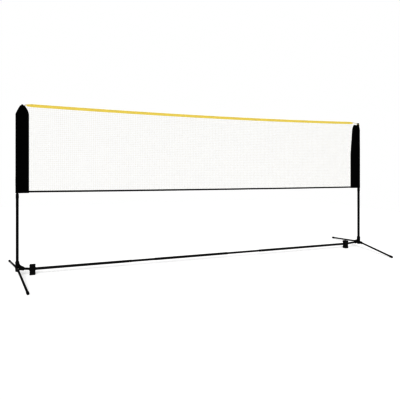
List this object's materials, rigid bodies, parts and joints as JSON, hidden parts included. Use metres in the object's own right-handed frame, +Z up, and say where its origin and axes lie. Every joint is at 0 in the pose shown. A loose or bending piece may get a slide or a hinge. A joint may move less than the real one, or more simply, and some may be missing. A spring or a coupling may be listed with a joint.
{
  "type": "portable net on poles",
  "caption": "Long net with a bright top tape between two telescopic poles, on a free-standing frame with a ground bar, feet and folding legs.",
  "frame": {"origin": "middle of the bounding box, on the ground", "axes": "+X along the net, +Y across it towards the rear legs, +Z up"},
  "size_m": [4.2568, 1.0292, 1.5596],
  "materials": {
    "black_painted_tube": "smooth black coating on steel tube",
    "black_moulding": "black moulded plastic, lightly textured",
    "black_rubber": "soft black rubber, matte",
    "zinc_plated_steel": "zinc-plated steel fasteners and buttons",
    "black_fabric": "woven black polyester, double layer",
    "yellow_tape": "woven warm yellow tape, folded and stitched",
    "black_binding": "woven black tape, folded and stitched",
    "cream_netting": "fine cream polyethylene twine mesh",
    "cream_cord": "braided cord"
  },
  "bodies": {
    "frame": {"bar_left": "black_painted_tube", "bar_middle": "black_painted_tube", "bar_right": "black_painted_tube", "corner_left": "black_moulding", "corner_right": "black_moulding", "foot_left": "black_moulding", "foot_right": "black_moulding", "inner_tube_left": "black_painted_tube", "inner_tube_right": "black_painted_tube", "lower_pole_left": "black_painted_tube", "lower_pole_right": "black_painted_tube", "pivot_bolt_front_left": "zinc_plated_steel", "pivot_bolt_front_right": "zinc_plated_steel", "pivot_bolt_rear_left": "zinc_plated_steel", "pivot_bolt_rear_right": "zinc_plated_steel", "pivot_nut_front_left": "zinc_plated_steel", "pivot_nut_front_right": "zinc_plated_steel", "pivot_nut_rear_left": "zinc_plated_steel", "pivot_nut_rear_right": "zinc_plated_steel", "stub_left": "black_painted_tube", "stub_right": "black_painted_tube"},
    "net": {"bottom_binding": "black_binding", "netting": "cream_netting", "pole_cap_left": "black_moulding", "pole_cap_right": "black_moulding", "sleeve_left": "black_fabric", "sleeve_right": "black_fabric", "tie_loop_left": "cream_cord", "tie_loop_right": "cream_cord", "top_tape": "yellow_tape", "upper_pole_left": "black_painted_tube", "upper_pole_right": "black_painted_tube"},
    "button_left": {"button_left": "zinc_plated_steel"},
    "button_right": {"button_right": "zinc_plated_steel"},
    "leg_front_left": {"knuckle_front_left": "black_moulding", "leg_front_left": "black_painted_tube", "leg_tip_front_left": "black_rubber"},
    "leg_front_right": {"knuckle_front_right": "black_moulding", "leg_front_right": "black_painted_tube", "leg_tip_front_right": "black_rubber"},
    "leg_rear_left": {"knuckle_rear_left": "black_moulding", "leg_rear_left": "black_painted_tube", "leg_tip_rear_left": "black_rubber"},
    "leg_rear_right": {"knuckle_rear_right": "black_moulding", "leg_rear_right": "black_painted_tube", "leg_tip_rear_right": "black_rubber"},
    "lock_collar_left": {"lock_collar_left": "black_moulding"},
    "lock_collar_right": {"lock_collar_right": "black_moulding"}
  },
  "joints": [
    {"name": "net_height", "type": "slide", "parent": "frame", "child": "net", "axis": [0, 0, 1], "range_m": [-0.48, 0]},
    {"name": "lock_twist_left", "type": "hinge", "parent": "frame", "child": "lock_collar_left", "pos_m": [-1.99, 0, 0.718], "axis": [0, 0, 1], "range_deg": [0, 90]},
    {"name": "leg_fold_front_left", "type": "hinge", "parent": "frame", "child": "leg_front_left", "pos_m": [-1.97772, -0.04847, 0.062], "axis": [0, 0, 1], "range_deg": [0, 72]},
    {"name": "leg_fold_rear_left", "type": "hinge", "parent": "frame", "child": "leg_rear_left", "pos_m": [-2.00228, 0.04847, 0.062], "axis": [0, 0, 1], "range_deg": [-100, 0]},
    {"name": "button_press_left", "type": "slide", "parent": "frame", "child": "button_left", "axis": [0, 1, 0], "range_m": [0, 0.003], "stiffness_N_per_m": 700, "springref_m": -0.002},
    {"name": "lock_twist_right", "type": "hinge", "parent": "frame", "child": "lock_collar_right", "pos_m": [1.99, 0, 0.718], "axis": [0, 0, 1], "range_deg": [-90, 0]},
    {"name": "leg_fold_front_right", "type": "hinge", "parent": "frame", "child": "leg_front_right", "pos_m": [1.97772, -0.04847, 0.062], "axis": [0, 0, 1], "range_deg": [-72, 0]},
    {"name": "leg_fold_rear_right", "type": "hinge", "parent": "frame", "child": "leg_rear_right", "pos_m": [2.00228, 0.04847, 0.062], "axis": [0, 0, 1], "range_deg": [0, 100]},
    {"name": "button_press_right", "type": "slide", "parent": "frame", "child": "button_right", "axis": [0, 1, 0], "range_m": [0, 0.003], "stiffness_N_per_m": 700, "springref_m": -0.002}
  ]
}
